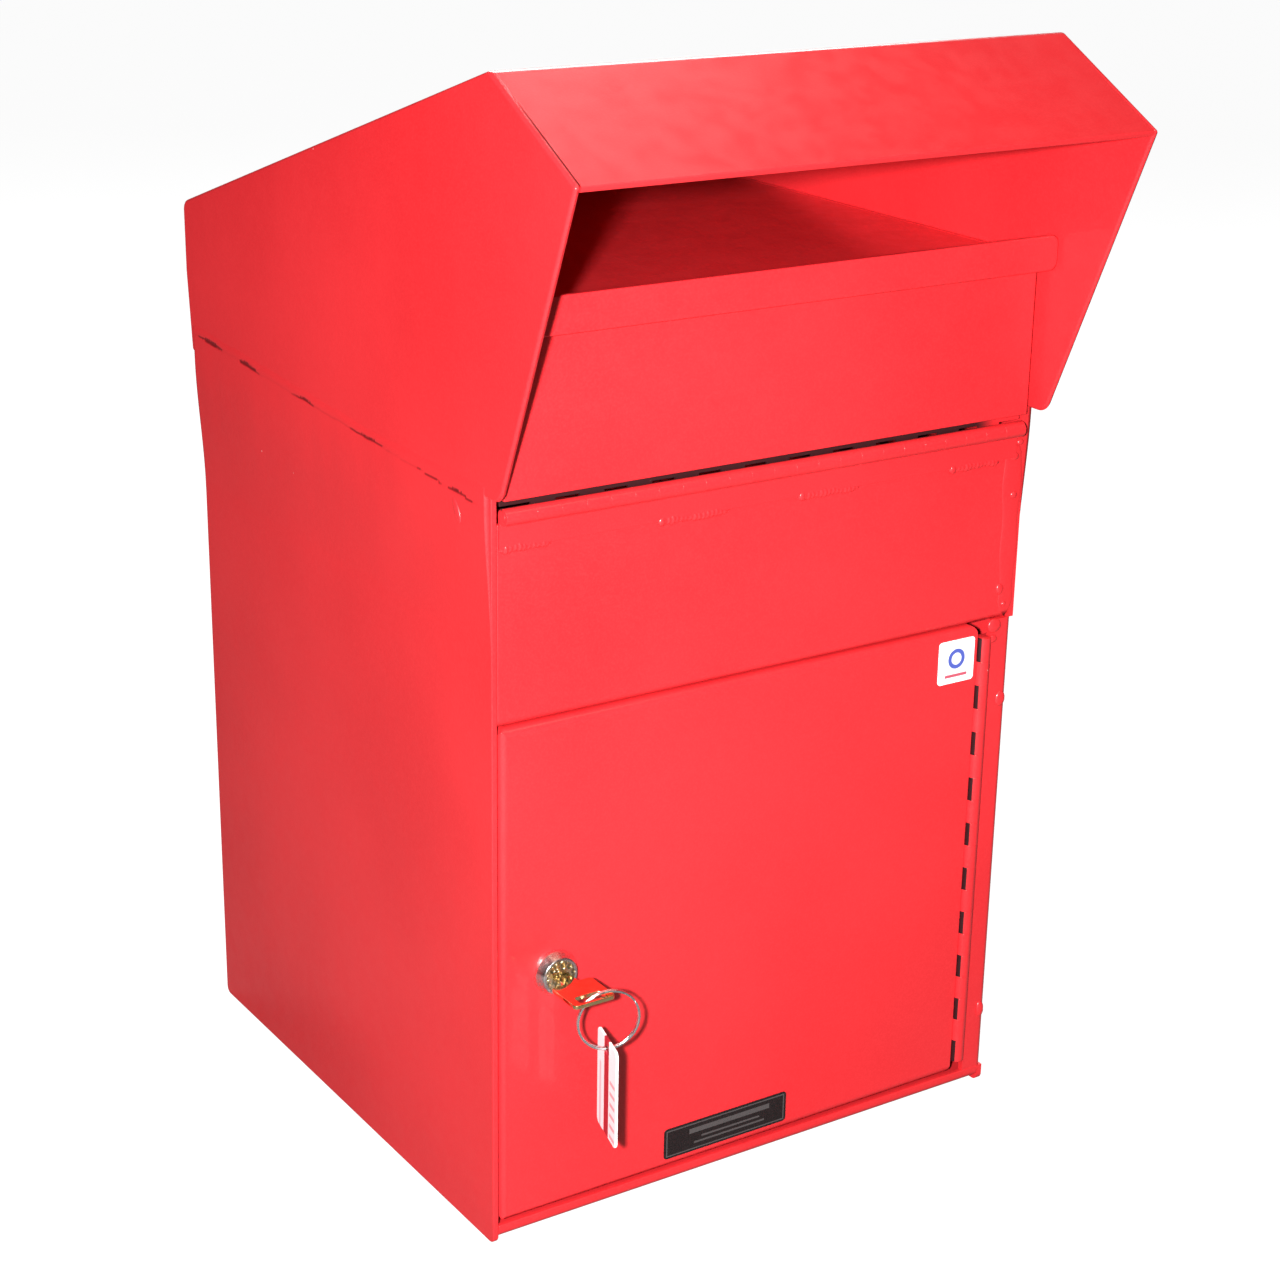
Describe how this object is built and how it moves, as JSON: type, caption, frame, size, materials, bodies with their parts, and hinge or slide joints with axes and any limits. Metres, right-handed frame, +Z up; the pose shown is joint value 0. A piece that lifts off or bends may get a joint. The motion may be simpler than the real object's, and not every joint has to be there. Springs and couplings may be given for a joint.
{
  "type": "mailbox",
  "caption": "Free-standing or wall-fixed steel drop-box mailbox with a sloped rain hood, a bottom-hinged hopper flap and a side-hinged retrieval door with a cam lock.",
  "frame": {"origin": "under the middle of the whole box, on the level of the side sheets' lower edges", "axes": "+Z up, -Y towards the front (flap, door and hood mouth), +X to the right when facing the front"},
  "size_m": [0.311, 0.384, 0.5576],
  "materials": {
    "coated_steel": "red powder coat, semi-gloss with fine orange peel",
    "lock_steel": "satin nickel plate",
    "lock_brass": "machined, lightly worn",
    "ring_steel": "bright nickel plate",
    "tag_plastic": "smooth white plastic",
    "dark_label": "black vinyl",
    "light_label": "white vinyl"
  },
  "bodies": {
    "shell": {"left_side": "coated_steel", "right_side": "coated_steel", "back_panel": "coated_steel", "bottom_panel": "coated_steel", "fixed_front_panel": "coated_steel", "deposit_shelf": "coated_steel", "latch_stop": "coated_steel", "hood_left_side": "coated_steel", "hood_right_side": "coated_steel", "hood_roof": "coated_steel", "flap_hinge_fixed_leaf": "coated_steel", "flap_hinge_pin": "coated_steel", "door_hinge_fixed_leaf": "coated_steel", "door_hinge_pin": "coated_steel"},
    "flap": {"flap_panel": "coated_steel", "pull_lip": "coated_steel", "hopper_tray": "coated_steel", "left_gusset": "coated_steel", "right_gusset": "coated_steel", "flap_hinge_moving_leaf": "coated_steel"},
    "door": {"door_panel": "coated_steel", "door_stiffener": "coated_steel", "door_hinge_moving_leaf": "coated_steel", "lock_housing": "lock_steel", "lock_nut": "lock_steel", "makers_plate": "dark_label", "light_sticker": "light_label"},
    "lock": {"lock_plug": "lock_brass", "lock_cam": "lock_steel", "cam_washer": "lock_steel", "cam_screw": "lock_steel"},
    "key": {"key": "lock_brass"},
    "ring": {"split_ring": "ring_steel"},
    "tag": {"key_tag": "tag_plastic"}
  },
  "joints": [
    {"name": "flap_tilt", "type": "hinge", "parent": "shell", "child": "flap", "pos_m": [0, -0.1237, 0.367], "axis": [1, 0, 0], "range_deg": [0, 45]},
    {"name": "door_swing", "type": "hinge", "parent": "shell", "child": "door", "pos_m": [0.1343, -0.1192, 0.13825], "axis": [0, 0, 1], "range_deg": [0, 115]},
    {"name": "lock_turn", "type": "hinge", "parent": "door", "child": "lock", "pos_m": [-0.119, -0.12, 0.13825], "axis": [0, 1, 0], "range_deg": [0, 90]},
    {"name": "key_pull", "type": "slide", "parent": "lock", "child": "key", "axis": [0, -1, 0], "range_m": [0, 0.03]},
    {"name": "ring_swing", "type": "hinge", "parent": "key", "child": "ring", "pos_m": [-0.11, -0.15352, 0.13975], "axis": [-0.9659, 0.2588, 0], "range_deg": [-8, 15]},
    {"name": "tag_swing", "type": "hinge", "parent": "ring", "child": "tag", "pos_m": [-0.11, -0.15352, 0.111], "axis": [-0.9659, 0.2588, 0], "range_deg": [-8, 60]}
  ]
}
